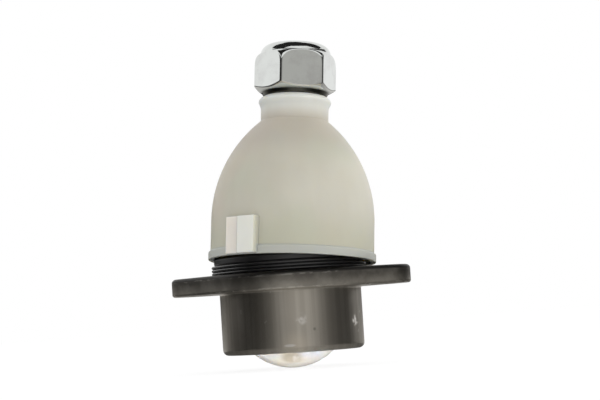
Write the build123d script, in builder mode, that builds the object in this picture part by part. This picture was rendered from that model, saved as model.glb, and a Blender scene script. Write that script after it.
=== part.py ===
"""Suspension ball joint: flanged steel housing, ball stud in a split nylon seat, rubber boot,
transport cap over the stud and a nylon-insert lock nut that holds the cap.

Millimetres. The origin is the ball's centre. +Z is the housing's axis, up towards the stud.
+X runs along the flange. The stud, and all that sits on it, leans from the housing's axis.
"""
import os
from math import cos, radians, sqrt, tan

from build123d import *

# ---------------------------------------------------------------- driving dimensions

# Ball and seat
ball_radius = 15.0
ball_clearance = 0.05          # ball to seat, a running fit
ball_flat_depth = 1.0          # turned off the ball's pole, away from the stud
shell_wall = 2.65              # nylon seat, ball to housing
seat_clearance = 0.05          # seat to housing
upper_seat_height = 10.35      # upper seat above the ball's centre
upper_grip_height = 8.0        # the upper seat follows the ball up to here
grease_groove_width = 2.0
grease_groove_depth = 0.8
grease_groove_count = 6

stud_swing = 28.0              # bare stud's free swing to each side
swing_clearance = 0.8          # mouths stand clear of the swung stud

# Housing
barrel_wall = 3.25
barrel_depth = 13.0            # barrel's lower face below the ball's centre
barrel_corner_radius = 1.7
flange_bottom = 5.2
flange_thickness = 5.4
flange_margin = 2.0            # flange waist outside the boot's lower ring
flange_top_round = 1.2
flange_bottom_round = 0.8
flange_root_fillet = 0.6
bolt_hole_radius = 4.2
bolt_land = 1.2                # between the boot's ring and the hole
bolt_edge_margin = 3.8         # flange end outside the hole
collar_wall = 2.5              # boot collar above the flange, outside the seat's bore
collar_height = 2.85
collar_edge = 0.5
closing_ring_thickness = 2.0
closing_ring_depth = 1.1       # closing ring's radial bite into the collar
closing_ring_clearance = 0.05
lip_overlap = 1.2              # rolled lip over the closing ring

# Boot and its rings
boot_wall = 1.5
boot_fit = 0.05                # boot to collar, shank, flange and rings
lower_ring_wall = 1.1
lower_ring_height = 2.85
lower_ring_turns = 3
lower_ring_slit = 0.18         # groove between the turns
lower_ring_slit_depth = 0.5
fold_step = 0.8                # boot's widest fold inside the lower ring's outer face
boot_collar_wall = 1.95
boot_collar_height = 5.0
boot_height = 14.5             # lower ring's top to the boot's upper collar
upper_ring_wall = 1.15
upper_ring_height = 2.4

# Stud
stud_neck_radius = 7.6
shank_shoulder = 1.6           # shank outside the thread
shank_flare = 3.0              # neck to shank, along the stud
shank_margin = 0.5             # shank stands past the boot's collar
taper_ratio = 10.0             # 1 mm of diameter in 10 mm of length
thread_radius = 7.0
thread_length = 22.5
thread_relief_length = 2.0
thread_depth = 1.0
thread_chamfer = 1.0
key_socket_flats = 6.0         # hexagon socket in the stud's end
key_socket_depth = 5.0

# Transport cap
cap_clearance = 0.55           # cap's bore outside the boot's lower ring
cap_wall = 0.9
cap_skirt_length = 12.0
cap_bell_radius = 39.2
cap_neck_wall = 2.9
cap_neck_length = 7.5
cap_neck_bore_clearance = 0.3
cap_bead_proud = 0.75          # soft bead round the neck's top
cap_bead_height = 3.8
cap_bead_crest = 1.5           # widest point below the neck's top
cap_bead_edge = 0.4            # top edge inside the neck's side
cap_rim_ledge = 0.6
cap_rim_height = 2.5
cap_rim_gap = 0.4              # rim above the flange on the side it leans to
cap_lug_width = 10.7
cap_lug_height = 10.7
cap_lug_rise = 0.2             # lug above the rim's lower face
cap_lug_proud = 1.8
cap_lug_step_width = 4.5
cap_lug_step_drop = 0.7
cap_lug_angle = -111.8         # about the stud, from +X

# Lock nut
nut_wall = 3.95                # thread bore to the flats
nut_hex_height = 12.6
nut_base_height = 1.3
nut_base_inset = 1.6           # nut's lower face inside the flats
nut_base_flare = 0.7
nut_base_chamfer = 31.0         # from the nut's lower face
nut_top_chamfer = 45.0
nut_crown_height = 3.3
nut_crown_inset = 0.2          # crown inside the flats
nut_crown_round = 2.3
nut_thread_clearance = 0.05
nut_insert_height = 3.0
nut_insert_wall = 1.9
nut_lip_thickness = 0.8
nut_lip_overlap = 1.2
nut_angle = -95.3              # one corner about the stud, from +X

# Rest pose: the stud leans towards +Y, then towards +X
lean_about_x = -4.9
lean_about_y = 3.5

# ---------------------------------------------------------------- derived sizes

seat_bore = ball_radius + ball_clearance
thread_root_radius = thread_radius - thread_depth
shank_radius = thread_radius + shank_shoulder
nut_bore = thread_radius + nut_thread_clearance
nut_flats = 2 * (nut_bore + nut_wall)
cap_neck_bore = thread_radius + cap_neck_bore_clearance
cap_neck_radius = cap_neck_bore + cap_neck_wall
shell_radius = seat_bore + shell_wall
bore_radius = shell_radius + seat_clearance
barrel_radius = bore_radius + barrel_wall
opening_radius = sqrt(bore_radius**2 - barrel_depth**2)
flange_top = flange_bottom + flange_thickness

collar_radius = bore_radius + collar_wall
collar_top = flange_top + collar_height
closing_ring_radius = bore_radius + closing_ring_depth
closing_ring_base = upper_seat_height
closing_ring_top = closing_ring_base + closing_ring_thickness
lip_radius = closing_ring_radius - lip_overlap

boot_bead_radius = collar_radius + boot_fit + boot_wall
lower_ring_bore = boot_bead_radius + boot_fit
lower_ring_radius = lower_ring_bore + lower_ring_wall
lower_ring_base = flange_top + boot_fit
lower_ring_top = lower_ring_base + lower_ring_height
fold_radius = lower_ring_radius - fold_step
boot_collar_bore = shank_radius + boot_fit
boot_collar_radius = boot_collar_bore + boot_collar_wall
boot_collar_base = lower_ring_top + boot_height
boot_collar_top = boot_collar_base + boot_collar_height
upper_ring_bore = boot_collar_radius + boot_fit
upper_ring_radius = upper_ring_bore + upper_ring_wall
upper_ring_base = boot_collar_base + (boot_collar_height - upper_ring_height) / 2

flange_waist_radius = lower_ring_radius + flange_margin
bolt_offset = lower_ring_radius + bolt_land + bolt_hole_radius
flange_end_radius = bolt_hole_radius + bolt_edge_margin

cap_bore = lower_ring_radius + cap_clearance
cap_skirt_radius = cap_bore + cap_wall
cap_rim_radius = cap_skirt_radius + cap_rim_ledge

# ---------------------------------------------------------------- the stud's own frame

stud_frame = Plane.XY.rotated((lean_about_x, lean_about_y, 0))
stud_axis = Axis(stud_frame.origin, stud_frame.z_dir)
stud_section = Plane(origin=stud_frame.origin, x_dir=stud_frame.x_dir, z_dir=-stud_frame.y_dir)
lean_cos = stud_frame.z_dir.Z
lean_sin = sqrt(1 - lean_cos**2)

cap_rim_base = (flange_top + cap_rim_gap + cap_rim_radius * lean_sin) / lean_cos
cap_skirt_top = cap_rim_base + cap_skirt_length
bell_rise = sqrt(cap_bell_radius**2 - (cap_bell_radius - cap_skirt_radius + cap_neck_radius)**2)
cap_bell_top = cap_skirt_top + bell_rise
cap_neck_top = cap_bell_top + cap_neck_length

nut_seat = cap_neck_top
nut_height = nut_hex_height + nut_crown_height
nut_crown_radius = nut_flats / 2 - nut_crown_inset
nut_insert_radius = nut_bore + nut_insert_wall
stud_end = nut_seat + nut_height - nut_lip_thickness - thread_chamfer
thread_base = stud_end - thread_length
taper_base = boot_collar_top + shank_margin
taper_top = thread_base - thread_relief_length
taper_end_radius = shank_radius - (taper_top - taper_base) / (2 * taper_ratio)

os.makedirs("parts", exist_ok=True)


def save(part, name):
    """Label a finished piece and write it as parts/NAME.step."""
    part.label = name
    export_step(part, f"parts/{name}.step")


def sphere_z(radius, distance):
    """Height at which a sphere about the origin has the given distance from its axis."""
    return sqrt(radius**2 - distance**2)


def mouth_radius(height):
    """Radius that lets the bare stud swing freely past an edge at this height."""
    swing = radians(stud_swing)
    return height * tan(swing) + stud_neck_radius / cos(swing) + swing_clearance


# ---------------------------------------------------------------- housing

with BuildPart() as housing:
    # Two-bolt flange: a round waist with an ear at each end
    with BuildSketch(Plane.XY.offset(flange_bottom)):
        Circle(flange_waist_radius)
        with Locations((-bolt_offset, 0), (bolt_offset, 0)):
            Circle(flange_end_radius)
        make_hull()
    extrude(amount=flange_thickness)
    fillet(housing.edges().group_by(Axis.Z)[-1], flange_top_round)
    fillet(housing.edges().group_by(Axis.Z)[0], flange_bottom_round)

    # Turned barrel below the flange
    with BuildSketch(Plane.XY.offset(-barrel_depth)):
        Circle(barrel_radius)
    extrude(amount=barrel_depth + flange_bottom)
    fillet(housing.edges().group_by(Axis.Z)[0], barrel_corner_radius)
    barrel_root = housing.edges().filter_by(GeomType.CIRCLE).filter_by(
        lambda edge: abs(edge.radius - barrel_radius) < 0.01
        and abs(edge.center().Z - flange_bottom) < 0.01)
    fillet(barrel_root, flange_root_fillet)

    # Boot collar above the flange
    with BuildSketch(Plane.XY.offset(flange_top)):
        Circle(collar_radius)
    extrude(amount=collar_height)
    chamfer(housing.edges().group_by(Axis.Z)[-1], collar_edge)

    # Cavity: spherical floor, bore, pocket for the closing ring and the rolled lip's mouth
    with BuildSketch(Plane.XZ):
        with BuildLine():
            Polyline(
                (0, -bore_radius - 1),
                (opening_radius, -bore_radius - 1),
                (opening_radius, -sphere_z(bore_radius, opening_radius)),
            )
            RadiusArc(
                (opening_radius, -sphere_z(bore_radius, opening_radius)),
                (bore_radius, 0),
                -bore_radius,
            )
            Polyline(
                (bore_radius, 0),
                (bore_radius, closing_ring_base),
                (closing_ring_radius + closing_ring_clearance, closing_ring_base),
                (closing_ring_radius + closing_ring_clearance, closing_ring_top),
                (lip_radius, closing_ring_top),
                (lip_radius, collar_top + 1),
                (0, collar_top + 1),
                (0, -bore_radius - 1),
            )
        make_face()
    revolve(axis=Axis.Z, mode=Mode.SUBTRACT)

    # Bolt holes
    with BuildSketch(Plane.XY.offset(flange_bottom)):
        with Locations((-bolt_offset, 0), (bolt_offset, 0)):
            Circle(bolt_hole_radius)
    extrude(amount=flange_thickness, mode=Mode.SUBTRACT)

save(housing.part, "housing")

# ---------------------------------------------------------------- seat of the ball

with BuildPart() as bearing_shell:
    # Lower half, whose dome shows through the housing's floor
    with BuildSketch(Plane.XZ):
        with BuildLine():
            RadiusArc((0, -shell_radius), (shell_radius, 0), -shell_radius)
            Line((shell_radius, 0), (seat_bore, 0))
            RadiusArc((seat_bore, 0), (0, -seat_bore), seat_bore)
            Line((0, -seat_bore), (0, -shell_radius))
        make_face()
    revolve(axis=Axis.Z)
    # Grease grooves inside, from the pole to the rim
    for groove_angle in range(0, 180, 360 // grease_groove_count):
        with BuildSketch(Plane.XZ.rotated((0, 0, groove_angle))):
            Circle(seat_bore + grease_groove_depth)
        extrude(amount=grease_groove_width / 2, both=True, mode=Mode.SUBTRACT)

save(bearing_shell.part, "bearing_shell")

with BuildPart() as bearing_ring:
    # Upper half, gripping the ball past its equator
    grip_radius = sphere_z(seat_bore, upper_grip_height)
    with BuildSketch(Plane.XZ):
        with BuildLine():
            RadiusArc((seat_bore, 0), (grip_radius, upper_grip_height), -seat_bore)
            Polyline(
                (grip_radius, upper_grip_height),
                (mouth_radius(upper_seat_height), upper_seat_height),
                (shell_radius, upper_seat_height),
                (shell_radius, 0),
                (seat_bore, 0),
            )
        make_face()
    revolve(axis=Axis.Z)

save(bearing_ring.part, "bearing_ring")

with BuildPart() as closing_ring:
    # Steel washer with a conical mouth, under the rolled lip
    with BuildSketch(Plane.XZ):
        with BuildLine():
            Polyline(
                (mouth_radius(closing_ring_base), closing_ring_base),
                (closing_ring_radius, closing_ring_base),
                (closing_ring_radius, closing_ring_top),
                (mouth_radius(closing_ring_top), closing_ring_top),
                close=True,
            )
        make_face()
    revolve(axis=Axis.Z)

save(closing_ring.part, "closing_ring")

# ---------------------------------------------------------------- ball stud

with BuildPart() as ball_stud:
    neck_z = sphere_z(ball_radius, stud_neck_radius)
    flat_z = ball_radius - ball_flat_depth
    flat_radius = sqrt(ball_radius**2 - flat_z**2)
    shank_base = boot_collar_base - shank_margin
    with BuildSketch(stud_section):
        with BuildLine():
            Line((0, -flat_z), (flat_radius, -flat_z))
            ThreePointArc((flat_radius, -flat_z), (ball_radius, 0), (stud_neck_radius, neck_z))
            Polyline(
                (stud_neck_radius, neck_z),
                (stud_neck_radius, shank_base - shank_flare),
                (shank_radius, shank_base),
                (shank_radius, taper_base),
                (taper_end_radius, taper_top),
                (thread_root_radius, taper_top + thread_relief_length / 4),
                (thread_root_radius, thread_base),
                (thread_radius, thread_base),
                (thread_radius, stud_end - thread_chamfer),
                (thread_radius - thread_chamfer, stud_end),
                (0, stud_end),
                (0, -flat_z),
            )
        make_face()
    revolve(axis=stud_axis)
    # Key socket in the end, which holds the stud while the nut turns
    with BuildSketch(stud_frame.offset(stud_end)):
        RegularPolygon(key_socket_flats / 2, 6, major_radius=False, rotation=nut_angle)
    extrude(amount=-key_socket_depth, mode=Mode.SUBTRACT)

save(ball_stud.part, "ball_stud")

# ---------------------------------------------------------------- boot

# Folds of the bellows: share of the lean, share of the boot's height, share of the radius
# between the upper collar and the widest fold.
boot_folds = [
    (0.00, 0.03, 1.00),
    (0.04, 0.11, 1.00),
    (0.12, 0.24, 0.82),
    (0.22, 0.34, 0.86),
    (0.40, 0.58, 0.80),
    (0.62, 0.80, 0.58),
    (0.84, 0.93, 0.28),
]


def boot_plane(lean_share, height):
    """Plane of one ring of the boot, turned about the ball's centre by a share of the lean."""
    turned = Plane.XY.rotated((lean_about_x * lean_share, lean_about_y * lean_share, 0))
    return turned.offset(height)


def fold_size(lean_share, height_share, radius_share):
    """Plane and outer radius of one fold."""
    height = lower_ring_top + height_share * boot_height
    radius = boot_collar_radius + radius_share * (fold_radius - boot_collar_radius)
    return boot_plane(lean_share, height), radius


with BuildPart() as boot:
    # Outside, from the bead under the lower ring to the upper collar
    for ring_plane, ring_radius in (
        (boot_plane(0, lower_ring_base), boot_bead_radius),
        (boot_plane(0, lower_ring_top), boot_bead_radius),
        *(fold_size(*fold) for fold in boot_folds),
        (boot_plane(1, boot_collar_base), boot_collar_radius),
        (boot_plane(1, boot_collar_top), boot_collar_radius),
    ):
        with BuildSketch(ring_plane):
            Circle(ring_radius)
    loft(ruled=True)
    # Inside, open below and closed above by the collar's bore
    for ring_plane, ring_radius in (
        (boot_plane(0, lower_ring_base), boot_bead_radius - boot_wall),
        *((plane, radius - boot_wall) for plane, radius in (fold_size(*f) for f in boot_folds)),
        (boot_plane(1, boot_collar_base - boot_wall / 2), boot_collar_bore),
        (boot_plane(1, boot_collar_top), boot_collar_bore),
    ):
        with BuildSketch(ring_plane):
            Circle(ring_radius)
    loft(ruled=True, mode=Mode.SUBTRACT)

save(boot.part, "boot")

with BuildPart() as boot_lower_ring:
    # Flat-wire ring: its turns show as slits in the outer face
    with BuildSketch(Plane.XY.offset(lower_ring_base)):
        Circle(lower_ring_radius)
        Circle(lower_ring_bore, mode=Mode.SUBTRACT)
    extrude(amount=lower_ring_height)
    turn_height = lower_ring_height / lower_ring_turns
    for turn in range(1, lower_ring_turns):
        slit_base = lower_ring_base + turn * turn_height - lower_ring_slit / 2
        with BuildSketch(Plane.XY.offset(slit_base)):
            Circle(lower_ring_radius)
            Circle(lower_ring_radius - lower_ring_slit_depth, mode=Mode.SUBTRACT)
        extrude(amount=lower_ring_slit, mode=Mode.SUBTRACT)

save(boot_lower_ring.part, "boot_lower_ring")

with BuildPart() as boot_upper_ring:
    with BuildSketch(stud_frame.offset(upper_ring_base)):
        Circle(upper_ring_radius)
        Circle(upper_ring_bore, mode=Mode.SUBTRACT)
    extrude(amount=upper_ring_height)
    fillet(boot_upper_ring.edges(), upper_ring_wall / 4)

save(boot_upper_ring.part, "boot_upper_ring")

# ---------------------------------------------------------------- transport cap

with BuildPart() as transport_cap:
    bell_centre = cap_skirt_radius - cap_bell_radius
    inner_bell_radius = cap_bell_radius - cap_wall
    inner_bell_top = cap_skirt_top + sqrt(inner_bell_radius**2 - (cap_neck_bore - bell_centre)**2)
    rim_top = cap_rim_base + cap_rim_height
    # Bell, skirt and rim, hollow below, with a bore up the neck for the stud
    with BuildSketch(stud_section):
        with BuildLine():
            Polyline(
                (cap_bore, cap_rim_base),
                (cap_rim_radius, cap_rim_base),
                (cap_rim_radius, rim_top - cap_rim_ledge / 2),
                (cap_skirt_radius, rim_top),
                (cap_skirt_radius, cap_skirt_top),
            )
            RadiusArc(
                (cap_skirt_radius, cap_skirt_top), (cap_neck_radius, cap_bell_top), -cap_bell_radius)
            Line(
                (cap_neck_radius, cap_bell_top),
                (cap_neck_radius, cap_neck_top - cap_bead_height),
            )
            ThreePointArc(
                (cap_neck_radius, cap_neck_top - cap_bead_height),
                (cap_neck_radius + cap_bead_proud, cap_neck_top - cap_bead_crest),
                (cap_neck_radius - cap_bead_edge, cap_neck_top),
            )
            Polyline(
                (cap_neck_radius - cap_bead_edge, cap_neck_top),
                (cap_neck_bore, cap_neck_top),
                (cap_neck_bore, inner_bell_top),
            )
            RadiusArc((cap_neck_bore, inner_bell_top), (cap_bore, cap_skirt_top), inner_bell_radius)
            Line((cap_bore, cap_skirt_top), (cap_bore, cap_rim_base))
        make_face()
    revolve(axis=stud_axis)

    # Pull lug: a flat pad on the skirt with a lower step along one side
    lug_depth = cap_wall + cap_lug_proud
    with BuildSketch(stud_frame.offset(cap_rim_base + cap_lug_rise)):
        with PolarLocations(0, 1, start_angle=cap_lug_angle):
            with Locations((cap_bore, -cap_lug_width / 2)):
                Rectangle(lug_depth - cap_lug_step_drop, cap_lug_width, align=Align.MIN)
            with Locations((cap_bore, cap_lug_step_width - cap_lug_width / 2)):
                Rectangle(lug_depth, cap_lug_width - cap_lug_step_width, align=Align.MIN)
    extrude(amount=cap_lug_height)
    with BuildSketch(stud_frame.offset(cap_rim_base)):
        Circle(cap_bore)
    extrude(amount=cap_skirt_length, mode=Mode.SUBTRACT)

save(transport_cap.part, "transport_cap")

# ---------------------------------------------------------------- lock nut

with BuildPart() as lock_nut:
    nut_plane = stud_frame.offset(nut_seat)
    with BuildSketch(nut_plane):
        RegularPolygon(nut_flats / 2, 6, major_radius=False, rotation=nut_angle)
    extrude(amount=nut_hex_height)
    # Base flare and chamfers take the corners off
    base_radius = nut_flats / 2 - nut_base_inset
    flare_radius = base_radius + nut_base_flare
    outer_radius = nut_flats * 0.6
    base_slope = tan(radians(nut_base_chamfer))
    top_slope = tan(radians(nut_top_chamfer))
    hex_top = nut_seat + nut_hex_height
    with BuildSketch(stud_section):
        with BuildLine():
            Polyline(
                (0, nut_seat),
                (base_radius, nut_seat),
                (flare_radius, nut_seat + nut_base_height),
                (outer_radius, nut_seat + nut_base_height + (outer_radius - flare_radius) * base_slope),
                (outer_radius, hex_top - (outer_radius - nut_flats / 2) * top_slope),
                (nut_flats / 2, hex_top),
                (0, hex_top),
                close=True,
            )
        make_face()
    revolve(axis=stud_axis, mode=Mode.INTERSECT)
    # Round crown, which holds the insert under its turned-in lip
    with BuildSketch(stud_frame.offset(hex_top)):
        Circle(nut_crown_radius)
    extrude(amount=nut_crown_height)
    crown_edge = lock_nut.edges().filter_by(GeomType.CIRCLE).sort_by(stud_axis)[-1]
    fillet(crown_edge, nut_crown_round)
    crown_top = nut_seat + nut_height
    insert_top = crown_top - nut_lip_thickness
    with BuildSketch(stud_section):
        with BuildLine():
            Polyline(
                (0, nut_seat),
                (nut_bore, nut_seat),
                (nut_bore, insert_top - nut_insert_height),
                (nut_insert_radius, insert_top - nut_insert_height),
                (nut_insert_radius, insert_top),
                (nut_insert_radius - nut_lip_overlap, insert_top),
                (nut_insert_radius - nut_lip_overlap, crown_top),
                (0, crown_top),
                close=True,
            )
        make_face()
    revolve(axis=stud_axis, mode=Mode.SUBTRACT)

save(lock_nut.part, "lock_nut")

with BuildPart() as nut_insert:
    with BuildSketch(stud_frame.offset(insert_top - nut_insert_height)):
        Circle(nut_insert_radius)
        Circle(nut_bore, mode=Mode.SUBTRACT)
    extrude(amount=nut_insert_height)

save(nut_insert.part, "nut_insert")
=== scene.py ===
"""Looks of the suspension ball joint: milky transport cap and bright lock nut over a dark flanged housing.

The housing, both seats, the closing ring, the boot's upper ring and the nut's insert keep their CAD meshes.
The boot, its wire ring, the cap with its lug, the nut and the stud are drawn here as smooth surfaces in the
space of the CAD nodes they stand for. Shapes are in millimetres until a surface is written, when they become
metres; finishes read the surface point in metres.
"""

import bpy
import numpy as np
from math import cos, pi, radians, sin, sqrt, tan
from mathutils import Matrix, Vector


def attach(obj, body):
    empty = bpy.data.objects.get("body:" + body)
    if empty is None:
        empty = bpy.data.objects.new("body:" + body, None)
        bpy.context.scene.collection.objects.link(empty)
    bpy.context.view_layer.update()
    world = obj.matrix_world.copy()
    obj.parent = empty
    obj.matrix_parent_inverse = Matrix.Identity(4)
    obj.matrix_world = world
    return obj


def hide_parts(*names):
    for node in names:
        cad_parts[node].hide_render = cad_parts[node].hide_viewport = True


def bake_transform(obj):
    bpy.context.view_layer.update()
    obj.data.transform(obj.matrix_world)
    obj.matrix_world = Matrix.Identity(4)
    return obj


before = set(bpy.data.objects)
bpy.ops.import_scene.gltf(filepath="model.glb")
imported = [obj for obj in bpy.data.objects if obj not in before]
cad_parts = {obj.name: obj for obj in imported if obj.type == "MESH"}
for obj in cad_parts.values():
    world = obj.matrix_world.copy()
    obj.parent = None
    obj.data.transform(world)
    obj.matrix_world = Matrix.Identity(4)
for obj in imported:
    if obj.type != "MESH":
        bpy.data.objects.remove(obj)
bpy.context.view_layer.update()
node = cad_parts

# ---------------------------------------------------------------- sizes shared with the CAD part

MM = 1000                                   # millimetres in a metre
LEAN_X, LEAN_Y = radians(-4.9), radians(3.5)


def lean(share):
    """Rotation that tips the housing's axis by a share of the stud's lean, as a 3x3 array."""
    a, b = LEAN_X * share, LEAN_Y * share
    about_x = np.array([[1, 0, 0], [0, cos(a), -sin(a)], [0, sin(a), cos(a)]])
    about_y = np.array([[cos(b), 0, sin(b)], [0, 1, 0], [-sin(b), 0, cos(b)]])
    return about_x @ about_y


STUD = lean(1)
LUG_TURN = radians(-111.8)
NUT_CORNER = radians(-95.3)
HEX_FLATS = NUT_CORNER + pi / 6 + np.arange(6) * pi / 3      # directions of the flats of nut and key socket
CAP_RIM, SKIRT_TOP, BELL_TOP, NECK_TOP = 13.697, 25.697, 55.89, 63.39      # heights along the stud


# ---------------------------------------------------------------- shader building

class Amount:
    """A number in a finish. Sums, differences and products of it add Math nodes."""

    def __init__(self, finish, socket):
        self.finish, self.socket = finish, socket

    def _math(self, operation, *terms):
        sockets = {i: t.socket if isinstance(t, Amount) else t for i, t in enumerate(terms)}
        return self.finish.add("ShaderNodeMath", {"operation": operation}, sockets)

    def __add__(self, other):
        return self._math("ADD", self, other)

    __radd__ = __add__

    def __sub__(self, other):
        return self._math("SUBTRACT", self, other)

    def __rsub__(self, other):
        return self._math("SUBTRACT", other, self)

    def __mul__(self, other):
        return self._math("MULTIPLY", self, other)

    __rmul__ = __mul__

    def larger(self, other):
        return self._math("MAXIMUM", self, other)

    def size(self):
        return self._math("ABSOLUTE", self)


class Finish:
    """A material, or the world, and the few kinds of node the finishes below are made from."""

    def __init__(self, name, kind="materials"):
        self.material = getattr(bpy.data, kind).new(name)
        self.material.use_nodes = True
        self.tree = self.material.node_tree
        self.tree.nodes.clear()
        self.point = None

    @property
    def place(self):
        """The surface point in the piece's own coordinates, in metres. Its node is added at first use."""
        self.point = self.point or self.add("ShaderNodeTexCoord", out="Object")
        return self.point

    def add(self, kind, settings=None, sockets=None, out=0):
        """Adds a node: first its settings, then its sockets' values or links. Returns one output."""
        new = self.tree.nodes.new(kind)
        for key, value in (settings or {}).items():
            setattr(new, key, value)
        for key, value in (sockets or {}).items():
            value = value.socket if isinstance(value, Amount) else value
            if isinstance(value, bpy.types.NodeSocket):
                self.tree.links.new(value, new.inputs[key])
            else:
                new.inputs[key].default_value = value
        return None if out is None else Amount(self, new.outputs[out])

    def along(self, direction):
        """Distance of the surface point from the origin along a direction, in metres."""
        return self.add("ShaderNodeVectorMath", {"operation": "DOT_PRODUCT"},
                        {0: self.place, 1: tuple(direction)}, "Value")

    def near(self, point, reach, fall, flat=1):
        """1 at a point in millimetres, 0 past reach + fall; flat squeezes that spot's height."""
        x, y, z = (c / MM for c in point)
        gap = self.add("ShaderNodeVectorMath", {"operation": "DISTANCE"},
                       {0: self.scaled(1, 1, flat), 1: (x, y, z * flat)}, "Value")
        return self.step(gap, (reach + fall) / MM, reach / MM)

    def step(self, value, low, high):
        """0 below low and 1 above high with a smooth ramp between; low may be the larger."""
        return self.add("ShaderNodeMapRange", {"interpolation_type": "SMOOTHSTEP"},
                        {"Value": value, "From Min": low, "From Max": high})

    def scaled(self, x, y, z):
        """The surface point with each axis stretched, so that a pattern on it is drawn out."""
        return self.add("ShaderNodeVectorMath", {"operation": "MULTIPLY"}, {0: self.place, 1: (x, y, z)})

    def grain(self, per_metre, detail=3.0, rough=0.55, place=None):
        """Soft random pattern from 0 to 1 with about that many patches to the metre."""
        return self.add("ShaderNodeTexNoise", None,
                        {"Vector": place or self.place, "Scale": per_metre, "Detail": detail,
                         "Roughness": rough})

    def drawn(self, x, y, z, detail=2, rough=0.5):
        """Soft random pattern with a different number of patches to the metre along each axis."""
        return self.grain(1, detail, rough, self.scaled(x, y, z))

    def spread(self, amounts, pattern):
        """An amount that is the first of two where a pattern is 0, and more by the second where it is 1."""
        least, more = amounts
        return least + more * pattern

    def tint(self, factor, low, high):
        """Colour that goes from low to high with the factor."""
        mixed = {0: factor, 6: low, 7: high}
        return self.add("ShaderNodeMix", {"data_type": "RGBA"}, mixed, 2)

    def relief(self, height, depth, strength=1.0):
        """Normal of a surface whose height varies by that many millimetres."""
        return self.add("ShaderNodeBump", None,
                        {"Height": height, "Distance": depth / MM, "Strength": strength})

    def surface(self, **sockets):
        """Ends the finish with one shader; names use _ for a space."""
        plain = {key.replace("_", " "): value for key, value in sockets.items()}
        return self.end(self.add("ShaderNodeBsdfPrincipled", None, plain))

    def end(self, shader, kind="ShaderNodeOutputMaterial"):
        """Joins the last shader to the output."""
        self.add(kind, None, {"Surface": shader}, None)
        return self.material


def srgb(code):
    """Linear colour of a six-figure sRGB code, with alpha 1."""
    parts = [int(code[i:i + 2], 16) / 255 for i in (0, 2, 4)]
    return tuple(p / 12.92 if p <= 0.04045 else ((p + 0.055) / 1.055) ** 2.4 for p in parts) + (1.0,)


# ---------------------------------------------------------------- finishes
#
# A ramp is where something starts to show and where it shows fully, for Finish.step: metres along an axis,
# or a share of a random pattern. A spot is a place in millimetres, its reach, its soft edge and, if it isn't
# round, how much it is flattened, for Finish.near. SHOWS is how strongly a mark covers the colour under it.

UP = (0, 0, 1)

BARREL_DARK, BARREL_PALE = (0.50, 0.465, 0.41, 1), (0.68, 0.64, 0.57, 1)
# The darker upright streaks on the barrel are painted reflection.
REFLECTION_STREAK, REFLECTION_STREAK_RAMP, REFLECTION_STREAK_SHOWS = (0.44, 0.405, 0.35, 1), (0.40, 0.60), 0.5
WARM, WARM_SPOT, WARM_SHOWS = (0.78, 0.70, 0.58, 1), ((5.6, -20.2, -11.5), 1, 5), 0.45
NICK, NICK_RAMP, NICK_SHOWS = (0.85, 0.82, 0.76, 1), (0.73, 0.77), 0.6

FLANGE_FOOT = 0.0048, 0.0056                # up the housing, from barrel to flange
PATCH_RAMP = 0.36, 0.66
# Painted shade: the flange's edge is paler low down and darker high up, and the round above it is
# near-black.
EDGE_LOW_DARK, EDGE_LOW_PALE = (0.36, 0.335, 0.295, 1), (0.52, 0.49, 0.435, 1)
EDGE_HIGH_DARK, EDGE_HIGH_PALE = (0.15, 0.14, 0.125, 1), (0.25, 0.235, 0.21, 1)
EDGE_RAMP = 0.0092, 0.0056                  # down the flange's edge
ROUND_SHADE, ROUND_RAMP = (0.055, 0.052, 0.048, 1), (0.0093, 0.0097)
TOP_DARK, TOP_PALE, TOP_RAMP = (0.05, 0.047, 0.043, 1), (0.17, 0.16, 0.143, 1), (0.0103, 0.0106)

UPPER_EDGE, UPPER_EDGE_RAMP, UPPER_EDGE_SHOWS = 0.0094, (0.0004, 0.0001), 0.25
LOWER_EDGE, LOWER_EDGE_RAMP = 0.0054, (0.0006, 0.0001)
CHIP, CHIP_RAMP, CHIP_SHOWS = (0.86, 0.83, 0.76, 1), (0.55, 0.66), 0.8
# More chips at the front of the lower edge: partly painted glints.
CHIP_AND_GLINT_GAIN, CHIP_AND_GLINT_SPOT = 0.12, ((5, -25, 5.4), 6, 10)
# A pale stretch at the front of the lower edge: rubbing and painted highlight.
WORN_RIM_AND_GLINT, WORN_RIM_AND_GLINT_SHOWS = (0.84, 0.80, 0.72, 1), 0.5
WORN_RIM_AND_GLINT_HEIGHT, WORN_RIM_AND_GLINT_RAMP, WORN_RIM_AND_GLINT_SPOT = 0.0053, (0.0005, 0.0001), ((8, -25, 5.3), 12, 9)

SCUFF_AND_GLINT, SCUFF_AND_GLINT_SHOWS = (0.95, 0.92, 0.88, 1), 0.8
FRONT_SCUFF, FRONT_SCUFF_RAMP = ((7.49, -19.62, -3.54), 0.7, 1.5), (0.36, 0.62)
SIDE_SCUFF, SIDE_SCUFF_RAMP = ((20.21, -5.71, -4.82), 0.7, 1.3), (0.44, 0.56)
# A thin pale line low on the barrel's front, near its lower edge: a painted glint.
LOW_GLINT = (4.02, -20.61, -10.87), 0.9, 1.2, 4
SPECK, SPECK_SPOT, SPECK_SHOWS = (0.08, 0.08, 0.06, 1), ((10.88, -17.96, -6.56), 0.15, 0.5), 0.45

BARREL_ROUGH, FLANGE_ROUGHER, SCUFF_AND_GLINT_ROUGHER = (0.25, 0.08), 0.20, 0.2
SCUFF_DULLS = 0.45                          # metal lost where the side scuff is
TURNING_DEEP, FINE_DEEP, PRESSED_DEEP = 0.5, 0.15, 1.3


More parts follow.
